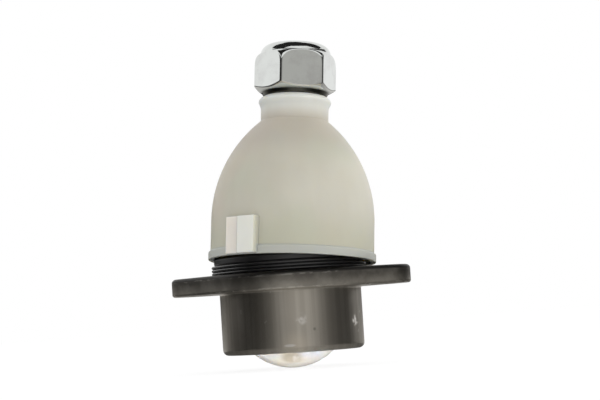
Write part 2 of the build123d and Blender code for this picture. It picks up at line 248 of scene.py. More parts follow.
def barrel_colour(f, clouds):
    """Turned steel: cloudy, with fine upright streaks of painted reflection, a warm patch and small nicks.
    """
    colour = f.tint(clouds, BARREL_DARK, BARREL_PALE)
    reflection_streaks = f.step(f.drawn(520, 520, 16), *REFLECTION_STREAK_RAMP)
    colour = f.tint(reflection_streaks * REFLECTION_STREAK_SHOWS, colour, REFLECTION_STREAK)
    colour = f.tint(f.near(*WARM_SPOT) * WARM_SHOWS, colour, WARM)
    nicks = f.step(f.grain(per_metre=310, detail=2, rough=0.5), *NICK_RAMP)
    return f.tint(nicks * NICK_SHOWS, colour, NICK)


def flange_colour(f, height):
    """Pressed steel: patchy; painted shade darkens it up its edge and on the round above that; darker on its
    top.
    """
    patches = f.step(f.grain(per_metre=140, detail=4, rough=0.6), *PATCH_RAMP)
    edge_high = f.tint(patches, EDGE_HIGH_DARK, EDGE_HIGH_PALE)
    edge_low = f.tint(patches, EDGE_LOW_DARK, EDGE_LOW_PALE)
    top = f.tint(patches, TOP_DARK, TOP_PALE)
    # painted shade: darker towards the top of the edge, near-black on the round above
    colour = f.tint(f.step(height, *EDGE_RAMP), edge_high, edge_low)
    colour = f.tint(f.step(height, *ROUND_RAMP), colour, ROUND_SHADE)
    return f.tint(f.step(height, *TOP_RAMP), colour, top)


def flange_wear(f, height, colour):
    """Chips along both edges of the flange, more at the front of the lower one that stand partly for painted
    glints, and a pale stretch at the front of the lower edge that is rubbing and painted highlight.
    """
    upper = f.step((height - UPPER_EDGE).size(), *UPPER_EDGE_RAMP) * UPPER_EDGE_SHOWS
    edges = upper.larger(f.step((height - LOWER_EDGE).size(), *LOWER_EDGE_RAMP))
    pattern = f.drawn(240, 240, 900, detail=3, rough=0.7)
    chips = f.step(pattern + CHIP_AND_GLINT_GAIN * f.near(*CHIP_AND_GLINT_SPOT), *CHIP_RAMP)
    colour = f.tint(chips * edges * CHIP_SHOWS, colour, CHIP)
    rim = f.step((height - WORN_RIM_AND_GLINT_HEIGHT).size(), *WORN_RIM_AND_GLINT_RAMP) * f.near(*WORN_RIM_AND_GLINT_SPOT)
    return f.tint(rim * WORN_RIM_AND_GLINT_SHOWS, colour, WORN_RIM_AND_GLINT)


def machined_housing():
    """Oiled dark steel: smooth turned barrel with scuffs and a painted glint, rougher pressed flange with
    painted shade above and chips, rubbing and a painted highlight below.
    """
    f = Finish("housing_dark_steel")
    height = f.along(UP)
    clouds = f.grain(per_metre=55, detail=4, rough=0.6)
    flange = f.step(height, *FLANGE_FOOT)
    colour = f.tint(flange, barrel_colour(f, clouds), flange_colour(f, height))
    colour = flange_wear(f, height, colour)
    scuffs_and_glint = f.near(*FRONT_SCUFF) * f.step(f.grain(per_metre=480, detail=3), *FRONT_SCUFF_RAMP)
    side_scuff = f.near(*SIDE_SCUFF) * f.step(f.grain(per_metre=900, detail=2), *SIDE_SCUFF_RAMP)
    # The low spot joined here is a painted glint; the other two are scuffs.
    scuffs_and_glint = scuffs_and_glint.larger(side_scuff).larger(f.near(*LOW_GLINT))
    colour = f.tint(scuffs_and_glint * SCUFF_AND_GLINT_SHOWS, colour, SCUFF_AND_GLINT)
    colour = f.tint(f.near(*SPECK_SPOT) * SPECK_SHOWS, colour, SPECK)
    rough = f.spread(BARREL_ROUGH, clouds) + FLANGE_ROUGHER * flange + SCUFF_AND_GLINT_ROUGHER * scuffs_and_glint
    turning = f.drawn(30, 30, 3800, rough=0.6)
    fine = f.grain(per_metre=900, detail=2, rough=0.5)
    pressed = flange * f.grain(per_metre=420, detail=3) * PRESSED_DEEP
    bump = f.relief(TURNING_DEEP * turning + FINE_DEEP * fine + pressed, depth=0.016, strength=0.45)
    return f.surface(Base_Color=colour, Metallic=1 - SCUFF_DULLS * side_scuff, Roughness=rough, Normal=bump)


SEAT_YELLOWED, SEAT_WHITE, SEAT_ROUGH = srgb("EFE9DF"), srgb("F6F1E9"), (0.46, 0.1)
# A darker beige patch at the dome's top front, just under the barrel's lip.
DOME_PATCH, DOME_PATCH_RAMP, DOME_PATCH_SHOWS = srgb("B4A88C"), (0.25, 0.5), 0.75
DOME_PATCH_SPOT = (1.6, -9.8, -14.6), 1.6, 2.6


def seat_nylon():
    """Off-white moulded nylon, a little yellowed, with a darker beige patch at the dome's top front, just
    under the barrel's lip.
    """
    f = Finish("seat_nylon")
    clouds = f.grain(per_metre=90, detail=3)
    dome_patch = f.near(*DOME_PATCH_SPOT) * f.step(f.grain(per_metre=240, detail=3), *DOME_PATCH_RAMP)
    colour = f.tint(dome_patch * DOME_PATCH_SHOWS, f.tint(clouds, SEAT_YELLOWED, SEAT_WHITE), DOME_PATCH)
    bump = f.relief(f.grain(per_metre=600, detail=2), depth=0.015, strength=0.4)
    return f.surface(Base_Color=colour, Roughness=f.spread(SEAT_ROUGH, clouds), Normal=bump,
                     Subsurface_Weight=0.8, Subsurface_Radius=(1.0, 0.9, 0.75), Subsurface_Scale=0.003)


RING_DARK, RING_PALE, RING_ROUGH = (0.34, 0.33, 0.31, 1), (0.5, 0.49, 0.46, 1), (0.28, 0.12)


def closing_ring_steel():
    """Drawn steel ring with fine rubbing marks."""
    f = Finish("closing_ring_steel")
    clouds = f.grain(per_metre=180, detail=4)
    bump = f.relief(f.drawn(60, 60, 5000), depth=0.015, strength=0.5)
    return f.surface(Base_Color=f.tint(clouds, RING_DARK, RING_PALE), Metallic=0.9,
                     Roughness=f.spread(RING_ROUGH, clouds), Normal=bump)


RUBBER, DUST, DUST_RAMP = (0.0055, 0.0055, 0.006, 1), (0.045, 0.044, 0.042, 1), (0.35, 0.75)
RUBBER_DULLER, RUBBER_COARSE = 0.14, 0.6


def black_rubber(name, shine, dust):
    """Black rubber or enamel: glossy where clean, a little dust in its grain."""
    f = Finish(name)
    clouds = f.grain(per_metre=70, detail=4)
    grain = f.grain(per_metre=1100, detail=2) + RUBBER_COARSE * f.grain(per_metre=330, detail=2)
    colour = f.tint(f.step(clouds, *DUST_RAMP) * dust, RUBBER, DUST)
    return f.surface(Base_Color=colour, Roughness=f.spread((shine, RUBBER_DULLER), clouds),
                     Specular_IOR_Level=0.8, Normal=f.relief(grain, depth=0.02, strength=0.5))


CAP_GREY, CAP_CREAM, CAP_ROUGH = srgb("C2BEB0"), srgb("D2CFC1"), (0.40, 0.12)
GREENISH, GREENISH_RAMP, GREENISH_SHOWS = srgb("B9C0A8"), (0.42, 0.62), 0.3
PINKISH, PINKISH_RAMP, PINKISH_SHOWS = srgb("CBB8A9"), (0.46, 0.64), 0.35
# Painted shade: a darker band round the bell's shoulder.
SHOULDER_SHADE, SHOULDER_SHADE_HEIGHT, SHOULDER_SHADE_RAMP, SHOULDER_SHADE_SHOWS = srgb("A8A196"), 0.0515, (0.0105, 0.0015), 0.38
CAP_BANDS = (                               # ramp along the stud, how strongly it shows, colour
    ((0.0548, 0.0612), 0.92, srgb("DEE0DB")),       # whiter thick neck
    # The skirt and rim bands are painted shade near the flange; the greener one also stands for the dark
    # boot behind the thin wall.
    ((0.030, 0.0165), 0.6, srgb("BBBBA6")),         # greener skirt
    ((0.01655, 0.01625), 0.85, srgb("B4B7B2")))     # greyer rim
FLOW, FLOW_RAMP, FLOW_SHOWS, FLOW_DEEP = srgb("B0A798"), (0.35, 0.75), 0.14, 0.5

LUG_CREAM, LUG_WHITE = srgb("E2E3DA"), srgb("EBEBE4")
LUG_OUT, LUG_BESIDE, LUG_UP = (0.0247, 0.0254), (0.0061, 0.0055), (0.0256, 0.0250)     # ramps of its block
LOW_STEP, LOW_STEP_RAMP = srgb("E8E2D9"), (-0.0006, -0.0010)
# Painted shade: the lug's darker flank and the grey line in its step's corner.
LUG_SIDE_SHADE, LUG_SIDE_SHADE_RAMP = srgb("CCCBBB"), (0.0050, 0.0053)
STEP_SHADE, STEP_SHADE_RAMP, STEP_SHADE_SHOWS = srgb("9C988A"), (0.0004, 0.00015), 0.75
STEP_SHADE_ASIDE = 0.00105                   # the line's distance to one side of the lug's middle


def lug_colour(f, beside):
    """Thick white lug: a warmer low step on one side, a flank darkened as painted shade, a grey line of
    painted shade in the step's corner.
    """
    colour = f.tint(f.grain(per_metre=150, detail=2), LUG_CREAM, LUG_WHITE)
    colour = f.tint(f.step(beside, *LOW_STEP_RAMP), colour, LOW_STEP)
    colour = f.tint(f.step(beside, *LUG_SIDE_SHADE_RAMP), colour, LUG_SIDE_SHADE)
    line = f.step((beside + STEP_SHADE_ASIDE).size(), *STEP_SHADE_RAMP)
    return f.tint(line * STEP_SHADE_SHOWS, colour, STEP_SHADE)


def cap_polyethylene():
    """Milky polyethylene: cloudy wall, a darker shoulder and a greyer rim as painted shade, whiter where
    neck and lug are thick.
    """
    f = Finish("cap_polyethylene")
    up = f.along(STUD[:, 2])
    out = f.along(STUD @ np.array([cos(LUG_TURN), sin(LUG_TURN), 0]))
    beside = f.along(STUD @ np.array([-sin(LUG_TURN), cos(LUG_TURN), 0]))
    clouds = f.grain(per_metre=32, detail=2, rough=0.5)
    flow = f.grain(per_metre=120, detail=3, rough=0.5, place=f.scaled(1, 1, 0.35))
    mottle = f.grain(per_metre=48, detail=1, rough=0.4)
    other_mottle = f.grain(per_metre=41, detail=1, rough=0.4, place=f.scaled(1.3, 0.8, 1.0))
    colour = f.tint(clouds, CAP_GREY, CAP_CREAM)
    colour = f.tint(f.step(mottle, *GREENISH_RAMP) * GREENISH_SHOWS, colour, GREENISH)
    colour = f.tint(f.step(other_mottle, *PINKISH_RAMP) * PINKISH_SHOWS, colour, PINKISH)
    # painted shade on the shoulder
    colour = f.tint(f.step((up - SHOULDER_SHADE_HEIGHT).size(), *SHOULDER_SHADE_RAMP) * SHOULDER_SHADE_SHOWS, colour, SHOULDER_SHADE)
    for ramp, shows, tone in CAP_BANDS:
        colour = f.tint(f.step(up, *ramp) * shows, colour, tone)
    colour = f.tint(f.step(flow, *FLOW_RAMP) * FLOW_SHOWS, colour, FLOW)
    lug = f.step(out, *LUG_OUT) * f.step(beside.size(), *LUG_BESIDE) * f.step(up, *LUG_UP)
    colour = f.tint(lug, colour, lug_colour(f, beside))
    bump = f.relief(f.grain(per_metre=420, detail=3) + FLOW_DEEP * flow, depth=0.012, strength=0.4)
    return f.surface(Base_Color=colour, Roughness=f.spread(CAP_ROUGH, clouds), Normal=bump,
                     Subsurface_Weight=0.6, Subsurface_Radius=(1.3, 1.15, 0.85), Subsurface_Scale=0.0016)


# The last colour here is a painted highlight for the lower edges of the nut's flats.
ZINC, ZINC_SMUDGED, EDGE_HIGHLIGHT = (0.70, 0.72, 0.70, 1), (0.635, 0.645, 0.63, 1), (0.97, 0.97, 0.94, 1)
SMUDGE_RAMP, SMUDGE_ROUGH_RAMP, ZINC_ROUGH, ZINC_WAVY = (0.42, 0.66), (0.4, 0.7), (0.06, 0.08), 0.8
# Painted shade and dark reflection: a dark band just above the nut's seat.
FOOT_SHADE, FOOT_SHADE_ABOVE_SEAT = (0.10, 0.10, 0.085, 1), (1.75, 1.1)          # millimetres above the nut's seat


def bright_zinc():
    """Bright zinc plate on the nut: nearly a mirror, with handling smudges, fine scratches, painted shade
    and dark reflection at its foot, and a painted highlight along the lower edges of its flats.
    """
    f = Finish("bright_zinc")
    smudge = f.grain(per_metre=150, detail=4, rough=0.6)
    colour = f.tint(f.step(smudge, *SMUDGE_RAMP), ZINC, ZINC_SMUDGED)
    # painted shade at the nut's foot
    foot_shade = f.step(f.along(STUD[:, 2]), *((NECK_TOP + above) / MM for above in FOOT_SHADE_ABOVE_SEAT))
    # painted highlight along the lower edges of the flats
    edge_highlight = f.add("ShaderNodeAttribute", {"attribute_name": "edge_highlight_share"}, None, "Fac")
    colour = f.tint(edge_highlight, f.tint(foot_shade, colour, FOOT_SHADE), EDGE_HIGHLIGHT)
    rough = f.spread(ZINC_ROUGH, f.step(smudge, *SMUDGE_ROUGH_RAMP))
    marks = f.drawn(500, 500, 3500) + ZINC_WAVY * f.grain(per_metre=130, detail=2)
    bump = f.relief(marks, depth=0.006, strength=0.35)
    return f.surface(Base_Color=colour, Metallic=1.0, Roughness=rough, Normal=bump)


STUD_OILY, STUD_GROUND, STUD_ROUGH = (0.26, 0.255, 0.24, 1), (0.46, 0.45, 0.42, 1), (0.24, 0.16)


def stud_steel():
    """Ground and phosphated stud: grey steel with oily darker clouds."""
    f = Finish("stud_steel")
    clouds = f.grain(per_metre=110, detail=4)
    bump = f.relief(f.grain(per_metre=1500, detail=2), depth=0.01, strength=0.4)
    return f.surface(Base_Color=f.tint(clouds, STUD_OILY, STUD_GROUND), Metallic=1.0,
                     Roughness=f.spread(STUD_ROUGH, clouds), Normal=bump)


INSERT_GREY, INSERT_WHITE, INSERT_ROUGH = srgb("D9DAD6"), srgb("E8E9E6"), (0.38, 0.1)


def insert_nylon():
    """White nylon insert of the lock nut."""
    f = Finish("insert_nylon")
    clouds = f.grain(per_metre=300, detail=3)
    bump = f.relief(f.grain(per_metre=900, detail=2), depth=0.01, strength=0.4)
    return f.surface(Base_Color=f.tint(clouds, INSERT_GREY, INSERT_WHITE),
                     Roughness=f.spread(INSERT_ROUGH, clouds), Normal=bump)


FINISHES = {
    "housing_steel": machined_housing(),
    "bearing_nylon": seat_nylon(),
    "ring_steel": closing_ring_steel(),
    "stud_steel": stud_steel(),
    "boot_rubber": black_rubber("boot_rubber", shine=0.24, dust=0.3),
    "spring_wire": black_rubber("wire_ring_black_enamel", shine=0.14, dust=0.2),
    "cap_plastic": cap_polyethylene(),
    "zinc_plate": bright_zinc(),
    "insert_nylon": insert_nylon(),
}

CAD_FINISH = {
    "housing": "housing_steel",
    "bearing_shell": "bearing_nylon",
    "bearing_ring": "bearing_nylon",
    "closing_ring": "ring_steel",
    "boot_lower_ring": "spring_wire",
    "boot_upper_ring": "spring_wire",
    "transport_cap": "cap_plastic",
    "lock_nut": "zinc_plate",
    "nut_insert": "insert_nylon",
    "ball_stud": "stud_steel",
    "boot": "boot_rubber",
}
for name, finish in CAD_FINISH.items():
    node[name].data.materials.clear()
    node[name].data.materials.append(FINISHES[finish])

# ---------------------------------------------------------------- surfaces from arrays


def skin(name, grid, slot_name, around=True, along=False, poles=False, sharp=35):
    """Mesh of a grid of points, rows along the piece and columns around it, in millimetres.

    around and along join the last column or row to the first. With poles, the first and last rows are
    each one point, closed with a fan. Edges that turn by more than sharp degrees stay crisp.
    """
    rows, columns = grid.shape[:2]
    index = np.arange(rows * columns).reshape(rows, columns)
    if poles:
        index = index - (columns - 1)
        index[0] = 0
        index[-1] = (rows - 2) * columns + 1
        points = np.vstack([grid[0, :1], grid[1:-1].reshape(-1, 3), grid[-1, :1]])
    else:
        points = grid.reshape(-1, 3)
    right = np.roll(index, -1, 1) if around else index[:, 1:]
    left = index if around else index[:, :-1]
    up_left = np.roll(left, -1, 0) if along else left[1:]
    up_right = np.roll(right, -1, 0) if along else right[1:]
    left, right = (left, right) if along else (left[:-1], right[:-1])
    faces = np.stack([left, right, up_right, up_left], -1).reshape(-1, 4).tolist()
    if poles:
        faces = [list(dict.fromkeys(face)) for face in faces]
    mesh = bpy.data.meshes.new(name)
    mesh.from_pydata((points / MM).tolist(), [], faces)
    mesh.shade_smooth()
    mesh.set_sharp_from_angle(angle=radians(sharp))
    mesh.validate()
    piece = bpy.data.objects.new(name, mesh)
    bpy.context.scene.collection.objects.link(piece)
    mesh.materials.append(FINISHES[slot_name])
    return piece


def turned(profile, turn_of=STUD, columns=192):
    """Surface of revolution: each profile point (distance from the axis, height) carried round the axis.

    x = r cos(angle), y = r sin(angle), z = height, then tipped by a rotation.
    """
    angle = np.linspace(0, 2 * pi, columns, endpoint=False)
    r, z = profile[:, :1], profile[:, 1:]
    ring = np.stack([r * np.cos(angle), r * np.sin(angle), z + 0 * angle], -1)
    return ring @ turn_of.T


def rounded(corners, radius, steps=6):
    """The inner corners of an outline, rounded: each becomes a quadratic curve that leaves one side and
    joins the next at radius from the corner, or at two fifths of a shorter side. The first and last
    corners only give the direction of the ends.
    """
    path, most = [], 0.4
    for before, here, after in zip(corners[:-2], corners[1:-1], corners[2:]):
        before, here, after = map(np.array, (before, here, after))
        back, on = before - here, after - here
        reach_back = min(radius, most * np.hypot(*back))
        reach_on = min(radius, most * np.hypot(*on))
        p, q = here + back / np.hypot(*back) * reach_back, here + on / np.hypot(*on) * reach_on
        t = np.linspace(0, 1, steps)[:, None]
        path.append((1 - t) ** 2 * p + 2 * t * (1 - t) * here + t ** 2 * q)
    return np.vstack(path)


# ---------------------------------------------------------------- boot

RING_TOP, BOOT_RISE = 13.5, 14.5
BOOT_BEAD, BOOT_FOLD, BOOT_COLLAR, SHANK = 21.8, 22.15, 10.6, 8.65      # radii
BOOT_WALL, BOOT_COLUMNS, FOLD_STEPS = 1.5, 144, 12
BOOT_FOOT, FOOT_SOFT_TOP, FOOT_SOFT_SIDE = 10.66, 10.85, 0.2
COLLAR_TOP, COLLAR_SOFT_TOP, COLLAR_SOFT_SIDE = 33.0, 32.7, 0.3
FOLDS = np.array([        # share of lean, share of rise, share of the radius beyond the collar
    (0.00, 0.000, 0.970), (0.00, 0.030, 1.000), (0.04, 0.110, 1.000), (0.12, 0.240, 0.820),
    (0.22, 0.340, 0.860), (0.40, 0.580, 0.800), (0.62, 0.800, 0.580), (0.84, 0.930, 0.280),
    (1.00, 1.000, 0.000)])


def boot_wall_ring(share, rise, radius):
    """Ring of the bellows about an axis tipped by a share of the stud's lean."""
    angle = np.linspace(0, 2 * pi, BOOT_COLUMNS, endpoint=False)
    ring = np.stack([radius * np.cos(angle), radius * np.sin(angle), rise + 0 * angle], -1)
    return ring @ lean(share).T


def bellows(name, first, last, ends):
    """Part of the bellows between two of its folds, as a closed wall.

    Lean and rise run straight from fold to fold. The radius is the mean of that straight run and a smooth
    cubic ease, so folds are soft but not round; the inner side is the same curve smaller by the wall.
    """
    t = np.linspace(first, last, FOLD_STEPS * (last - first) + 1)
    i = np.clip(t.astype(int), 0, len(FOLDS) - 2)
    u = t - i
    ease = u * u * (3 - 2 * u)
    mix = (u + ease) / 2
    share = FOLDS[i, 0] + (FOLDS[i + 1, 0] - FOLDS[i, 0]) * u
    rise = RING_TOP + BOOT_RISE * (FOLDS[i, 1] + (FOLDS[i + 1, 1] - FOLDS[i, 1]) * u)
    radius = BOOT_COLLAR + (BOOT_FOLD - BOOT_COLLAR) * (FOLDS[i, 2] + (FOLDS[i + 1, 2] - FOLDS[i, 2]) * mix)
    outer = [boot_wall_ring(*row) for row in zip(share, rise, radius)]
    inner = [boot_wall_ring(*row) for row in zip(share, rise, np.maximum(radius - BOOT_WALL, SHANK))]
    start, end = ends
    grid = np.array(start[::-1] + outer + end + inner[::-1])
    return skin(name, grid, "boot_rubber", along=True, sharp=50)


SEAM = 4            # fold at which the two parts meet
boot_lower = bellows("boot_lower", 0, SEAM, (
    [boot_wall_ring(0, FOOT_SOFT_TOP, BOOT_BEAD), boot_wall_ring(0, BOOT_FOOT, BOOT_BEAD - FOOT_SOFT_SIDE),
     boot_wall_ring(0, BOOT_FOOT, BOOT_BEAD - BOOT_WALL)], []))
boot_upper = bellows("boot_upper", SEAM, len(FOLDS) - 1, (
    [], [boot_wall_ring(1, COLLAR_SOFT_TOP, BOOT_COLLAR),
         boot_wall_ring(1, COLLAR_TOP, BOOT_COLLAR - COLLAR_SOFT_SIDE),
         boot_wall_ring(1, COLLAR_TOP, SHANK)]))
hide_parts("boot")
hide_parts("boot")
seam_height = RING_TOP + BOOT_RISE * FOLDS[SEAM, 1]
seam_point = lean(FOLDS[SEAM, 0])[:, 2] * seam_height
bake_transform(boot_lower)
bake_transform(boot_upper)

# ---------------------------------------------------------------- wire ring round the boot's foot

WIRE_TURNS, WIRE_BASE, WIRE_PITCH, WIRE_BORE, WIRE_OUT = 3, 10.65, 0.95, 21.85, 22.95
WIRE_FLAT, WIRE_STEPS, NEAR_EDGE = 0.45, 17, 0.985


def wire_ring():
    """Coiled wire ring: each turn's outer face is a half ellipse in section, all turned about the axis.

    Radius = bore + flat + bulge sqrt(1 - s^2), with s from nearly -1 to nearly 1 over each turn's height.
    """
    s = np.linspace(-NEAR_EDGE, NEAR_EDGE, WIRE_STEPS)
    radius = WIRE_BORE + WIRE_FLAT + (WIRE_OUT - WIRE_BORE - WIRE_FLAT) * np.sqrt(1 - s ** 2)
    turns = [np.stack([radius, WIRE_BASE + WIRE_PITCH * (turn + 0.5 + s / 2)], -1)
             for turn in range(WIRE_TURNS)]
    back = [(WIRE_BORE, WIRE_BASE + WIRE_PITCH * WIRE_TURNS), (WIRE_BORE, WIRE_BASE)]
    return skin("boot_wire_ring", turned(np.vstack(turns + [back]), np.eye(3)), "spring_wire", along=True,
                sharp=50)


wire = wire_ring()
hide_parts("boot_lower_ring")
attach(wire, "housing")

# ---------------------------------------------------------------- transport cap

BORE, SKIRT, RIM, NECK, NECK_BORE, BELL = 23.5, 24.4, 25.0, 10.2, 7.3, 39.2     # radii; BELL is its arc's
CAP_WALL, SKIRT_ROWS, SKIRT_CLEAR, NECK_ROWS = 0.9, 20, 0.3, 60
RIM_EDGE, RIM_FOOT, RIM_CLEAR = 2.3, 2.5, 5                     # heights above the rim's base
NECK_FOOT, NECK_FOOT_END = 1.6, 2.2                             # heights above the bell's top
FOOT_CUT = 6                                                    # rows of the bell that the foot replaces
BEAD, BEAD_BELOW, BEAD_SPREAD = 0.75, 1.5, 1.25                 # how proud, how far below the top, how wide
TOP_INSET, TOP_ROUND, BORE_SHOWN = 1.15, 1.5, 4
LUG_WIDTH, LUG_STEP_WIDTH, LUG_PROUD, LUG_STEP = 10.7, 4.5, 1.8, 0.7
LUG_BASE, LUG_SOFT = 23.62, 0.28                                # distance from the stud, soft edges' width
LUG_LOW, LUG_HIGH = 0.2, 10.9                                   # heights above the rim's base


def bell_arc(radius, low, high, steps=72):
    """Quarter-round of the bell: circle arc about a point beyond the axis, between two heights."""
    z = low + (high - low) * np.sin(np.linspace(0, pi / 2, steps))
    return np.stack([SKIRT - BELL + np.sqrt(radius ** 2 - (z - low) ** 2), z], -1)


def cap_bell():
    """Bell of the cap: its wall's outline, soft at rim, neck foot and bead, turned about the stud.

    The bead's radius is the neck's plus a smooth hump, and falls away in a quarter round at the top.
    """
    z = np.linspace(BELL_TOP + NECK_FOOT, NECK_TOP, NECK_ROWS)
    below_top = NECK_TOP - z
    hump = BEAD * np.exp(-((below_top - BEAD_BELOW) / BEAD_SPREAD) ** 2)
    round_off = TOP_INSET * (1 - np.sqrt(1 - np.clip(1 - below_top / TOP_ROUND, 0, 1) ** 2))
    neck = np.stack([NECK + hump - round_off, z], -1)
    bell = bell_arc(BELL, SKIRT_TOP, BELL_TOP)
    foot = rounded([tuple(bell[-FOOT_CUT]), (NECK, BELL_TOP), (NECK, BELL_TOP + NECK_FOOT_END)],
                   radius=1.5, steps=9)
    mouth = [tuple(neck[-1]), (NECK_BORE, NECK_TOP), (NECK_BORE, NECK_TOP - BORE_SHOWN)]
    outer = np.vstack([
        rounded([(BORE, CAP_RIM + 1), (BORE, CAP_RIM), (RIM, CAP_RIM), (RIM, CAP_RIM + RIM_EDGE),
                 (SKIRT, CAP_RIM + RIM_FOOT), (SKIRT, CAP_RIM + RIM_CLEAR)], radius=0.22),
        np.stack([np.full(SKIRT_ROWS, SKIRT),
                  np.linspace(CAP_RIM + RIM_CLEAR, SKIRT_TOP - SKIRT_CLEAR, SKIRT_ROWS)], -1),
        bell[:-FOOT_CUT], foot, neck, rounded(mouth, radius=0.4)])
    inner_bell = BELL - CAP_WALL
    inner_top = SKIRT_TOP + sqrt(inner_bell ** 2 - (NECK_BORE - SKIRT + BELL) ** 2)
    inner = bell_arc(inner_bell, SKIRT_TOP, inner_top)[::-1]
    return skin("cap_bell", turned(np.vstack([outer, inner, [(BORE, CAP_RIM + 3)]])), "cap_plastic",
                along=True, sharp=40)


def cap_lug():
    """Pull lug: a stepped block standing on the skirt, its edges softly rounded."""
    side, step = LUG_WIDTH / 2, LUG_STEP_WIDTH - LUG_WIDTH / 2
    low, high = SKIRT + LUG_PROUD - LUG_STEP, SKIRT + LUG_PROUD
    outline = np.array([(LUG_BASE, -side), (low, -side), (low, step), (high, step), (high, side),
                        (LUG_BASE, side)])
    c, n = np.array([[cos(LUG_TURN), sin(LUG_TURN)], [-sin(LUG_TURN), cos(LUG_TURN)]]), len(outline)
    flat = outline @ c
    bottom = np.column_stack([flat, np.full(n, CAP_RIM + LUG_LOW)])
    top = np.column_stack([flat, np.full(n, CAP_RIM + LUG_HIGH)])
    points = np.vstack([bottom, top]) @ STUD.T / MM
    around = np.arange(n)
    nxt = np.roll(around, -1)
    faces = np.stack([around, nxt, nxt + n, around + n], -1).tolist()
    faces += [around[::-1].tolist(), (around + n).tolist()]
    mesh = bpy.data.meshes.new("cap_lug")
    mesh.from_pydata(points.tolist(), [], faces)
    mesh.shade_smooth()
    lug = bpy.data.objects.new("cap_lug", mesh)
    bpy.context.scene.collection.objects.link(lug)
    mesh.materials.append(FINISHES["cap_plastic"])
    soften = lug.modifiers.new("soft_edges", "BEVEL")
    soften.width, soften.segments = LUG_SOFT / MM, 4
    soften.limit_method, soften.harden_normals = "ANGLE", True
    return lug


for piece in (cap_bell(), cap_lug()):
    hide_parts("transport_cap")
    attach(piece, "cap")

# ---------------------------------------------------------------- lock nut

# Points are (radius, height above the nut's seat).
HEX, HEX_HEIGHT = 11.0, 12.6                          # centre to flat, and height of the hexagon
CONE_FOOT, CONE_WIDTH, BASE_SLOPE = (10.1, 1.3), 2.85, tan(radians(31))
CORNER, CORNER_CLEAR = 12.95, 0.3                     # radius of the uncut outline, gap to its neighbours
SHOULDER_MIDDLE, SHOULDER_WIDTH, SHOULDER_RISE = (10.75, HEX_HEIGHT - 4.7), 2.2, 5
CROWN_MIDDLE, CROWN_WIDTH, CROWN_RISE, CROWN_SHARE = (7.75, 12.9), 2.95, 3.0, (0.02, 0.93)
NUT_FOOT = [(7.05, 2), (7.05, 0.5), (7.5, 0), (9.4, 0), CONE_FOOT, (10.6, 1.6)]
NUT_BORE = [(8.5, 15.9), (7.75, 15.9), (7.75, 15.1), (8.95, 15.1), (8.95, 12.1), (7.05, 12.1), (7.05, 9)]
CRISP_LOW, CRISP_LESS, CRISP_ZONE = 62, 38, 5         # power that rounds corners, its fall, over what height
BLEND_POWER = 60                                      # how tightly flats meet the turned outline
# Width and inset of the painted highlight along the lower edges of the flats.
EDGE_HIGHLIGHT_WIDTH, EDGE_HIGHLIGHT_INSIDE = 0.28, 0.05
CONE_ROWS, SIDE_ROWS, SHOULDER_ROWS, CROWN_ROWS, NUT_COLUMNS = 34, 8, 40, 30, 480


def lock_nut():
    """Nut: a turned outline cut by six flats, all as one surface.

    Radius = soft minimum of the outline's radius and the hexagon's. The hexagon's radius at an angle is
    its flats' distance over a root of the summed powers of the cosines to its six flats, which rounds the
    corners, the more so towards the top. Shoulder and crown are arcs of ellipses. The painted highlight on
    the edge is a bell curve of how far the outline lies from the hexagon, on the lower third of the hexagon.
    """
    low = np.linspace(0, 1, CONE_ROWS)[:, None] * (CONE_WIDTH, CONE_WIDTH * BASE_SLOPE) + CONE_FOOT
    turn, (middle, base) = np.linspace(0, pi / 2, SHOULDER_ROWS), SHOULDER_MIDDLE
    high = np.stack([middle + SHOULDER_WIDTH * np.cos(turn), base + SHOULDER_RISE * np.sin(turn)], -1)
    turn, (middle, base) = np.linspace(*CROWN_SHARE, CROWN_ROWS) * pi / 2, CROWN_MIDDLE
    crown = np.stack([middle + CROWN_WIDTH * np.cos(turn), base + CROWN_RISE * np.sin(turn)], -1)
    sides = np.stack([np.full(SIDE_ROWS, CORNER),
                      np.linspace(low[-1, 1] + CORNER_CLEAR, high[0, 1] - CORNER_CLEAR, SIDE_ROWS)], -1)
    seat = rounded(NUT_FOOT, radius=0.25, steps=5)
    bore = rounded(NUT_BORE, radius=0.3, steps=4)
    outline = np.vstack([seat, low[1:], sides, high, crown, bore])
    angle = np.linspace(0, 2 * pi, NUT_COLUMNS, endpoint=False)
    facing = np.maximum(np.cos(angle[:, None] - HEX_FLATS), 0)
    upper = np.clip((outline[:, 1:] - HEX_HEIGHT + CRISP_ZONE) / CRISP_ZONE, 0, 1)
    crisp = CRISP_LOW - CRISP_LESS * upper ** 2
    hexagon = HEX / (facing ** crisp[..., None]).sum(-1) ** (1 / crisp)
    r = np.repeat(outline[:, :1], len(angle), 1)
    cut = slice(len(seat), len(seat) + len(low) - 1 + len(sides) + len(high))
    r[cut] = (r[cut] ** -BLEND_POWER + hexagon[cut] ** -BLEND_POWER) ** (-1 / BLEND_POWER)
    ring = np.stack([r * np.cos(angle), r * np.sin(angle), outline[:, 1:] + NECK_TOP + 0 * angle], -1)
    piece = skin("nut_body", ring @ STUD.T, "zinc_plate", along=True, sharp=60)
    off_edge = (outline[:, :1] - hexagon + EDGE_HIGHLIGHT_INSIDE) / EDGE_HIGHLIGHT_WIDTH
    edge_highlight = np.exp(-off_edge ** 2) * (outline[:, 1:] < HEX_HEIGHT / 3)
    piece.data.attributes.new("edge_highlight_share", "FLOAT", "POINT").data.foreach_set("value", edge_highlight.ravel())
    return piece


nut = lock_nut()
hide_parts("lock_nut")
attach(nut, "nut")

# ---------------------------------------------------------------- ball stud

